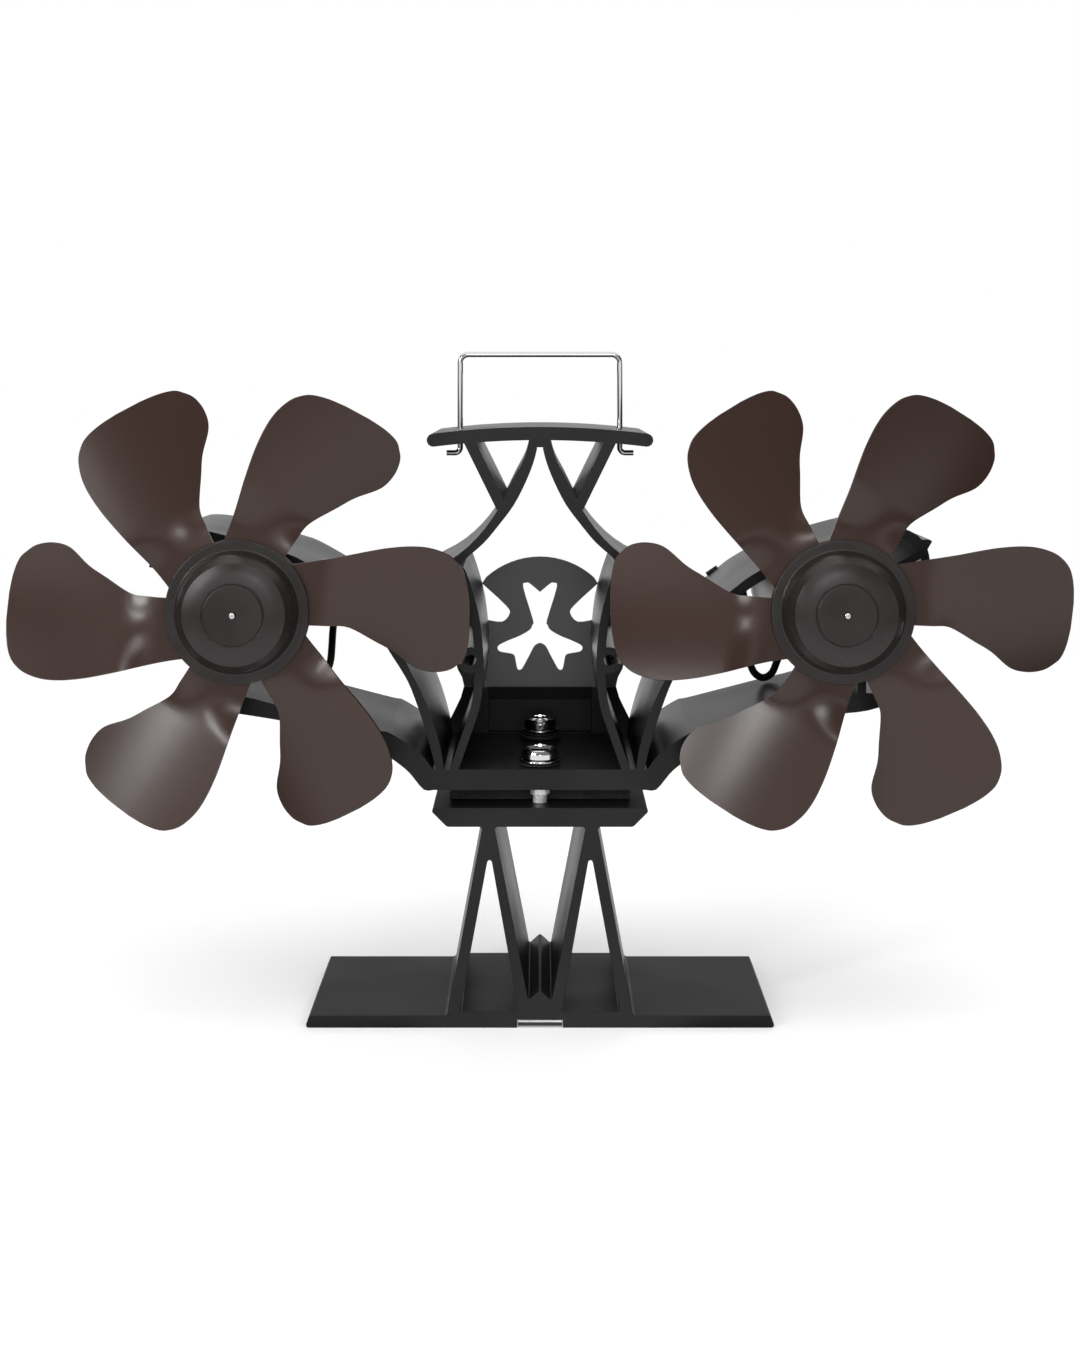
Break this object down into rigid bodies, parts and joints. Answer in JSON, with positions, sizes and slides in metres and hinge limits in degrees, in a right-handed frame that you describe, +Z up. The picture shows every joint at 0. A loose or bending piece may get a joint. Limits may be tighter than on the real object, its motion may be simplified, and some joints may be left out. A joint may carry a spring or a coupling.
{
  "type": "stove fan",
  "caption": "Free-standing heat-powered stove fan: black extruded base and heatsink frame, two bladed propellers side by side, wire carrying handle.",
  "frame": {"origin": "on the stove top, under the middle of the whole fan", "axes": "+X to the right seen from the front, +Y towards the back, +Z up"},
  "size_m": [0.3596, 0.1116, 0.236],
  "materials": {
    "frame_black": "satin black anodised",
    "sheet_black": "semi-gloss black paint",
    "hub_black": "semi-gloss",
    "bimetal": "rolled strip",
    "steel": "zinc plated",
    "chrome": "bright",
    "wire_bright": "bright drawn wire",
    "pad_grey": "graphite pad",
    "ceramic_white": "matt ceramic",
    "seal_black": "matt heat-resistant moulding",
    "motor_plated": "plated can",
    "plastic_black": "moulded",
    "rubber_black": "matt",
    "brass": "plain",
    "lead_black": "sleeved lead"
  },
  "bodies": {
    "frame": {"base": "frame_black", "heatsink": "frame_black", "bimetal_screw": "steel", "lower_pad": "pad_grey", "thermoelectric_module": "ceramic_white", "upper_pad": "pad_grey", "module_seal": "seal_black", "front_bolt": "chrome", "rear_bolt": "chrome", "front_washer": "chrome", "rear_washer": "chrome", "front_insulator": "seal_black", "rear_insulator": "seal_black", "front_collar": "steel", "rear_collar": "steel", "rear_bush": "seal_black", "rear_shield": "sheet_black", "left_shield_screw": "steel", "right_shield_screw": "steel", "left_motor": "motor_plated", "right_motor": "motor_plated", "left_motor_cap": "plastic_black", "right_motor_cap": "plastic_black", "left_motor_bush": "brass", "right_motor_bush": "brass", "left_sleeve": "rubber_black", "right_sleeve": "rubber_black", "left_terminals": "brass", "right_terminals": "brass", "left_lead": "lead_black", "right_lead": "lead_black", "left_clip": "plastic_black", "right_clip": "plastic_black"},
    "left_fan": {"left_shaft": "steel", "left_hub": "hub_black", "left_propeller": "sheet_black"},
    "right_fan": {"right_shaft": "steel", "right_hub": "hub_black", "right_propeller": "sheet_black"},
    "handle": {"handle": "wire_bright"},
    "bimetal": {"bimetal_strip": "bimetal"}
  },
  "joints": [
    {"name": "left_fan_spin", "type": "hinge", "parent": "frame", "child": "left_fan", "pos_m": [-0.1018, -0.04347, 0.1479], "axis": [0, 1, 0], "continuous": true},
    {"name": "right_fan_spin", "type": "hinge", "parent": "frame", "child": "right_fan", "pos_m": [0.1018, -0.04347, 0.1479], "axis": [0, 1, 0], "continuous": true},
    {"name": "handle_slide", "type": "slide", "parent": "frame", "child": "handle", "axis": [0, 0, 1], "range_m": [-0.024, 0.002]},
    {"name": "bimetal_flex", "type": "hinge", "parent": "frame", "child": "bimetal", "pos_m": [0, 0.04052, 0.002], "axis": [1, 0, 0], "range_deg": [0, 2], "stiffness_Nm_per_rad": 0.2, "springref_deg": -2.86}
  ]
}
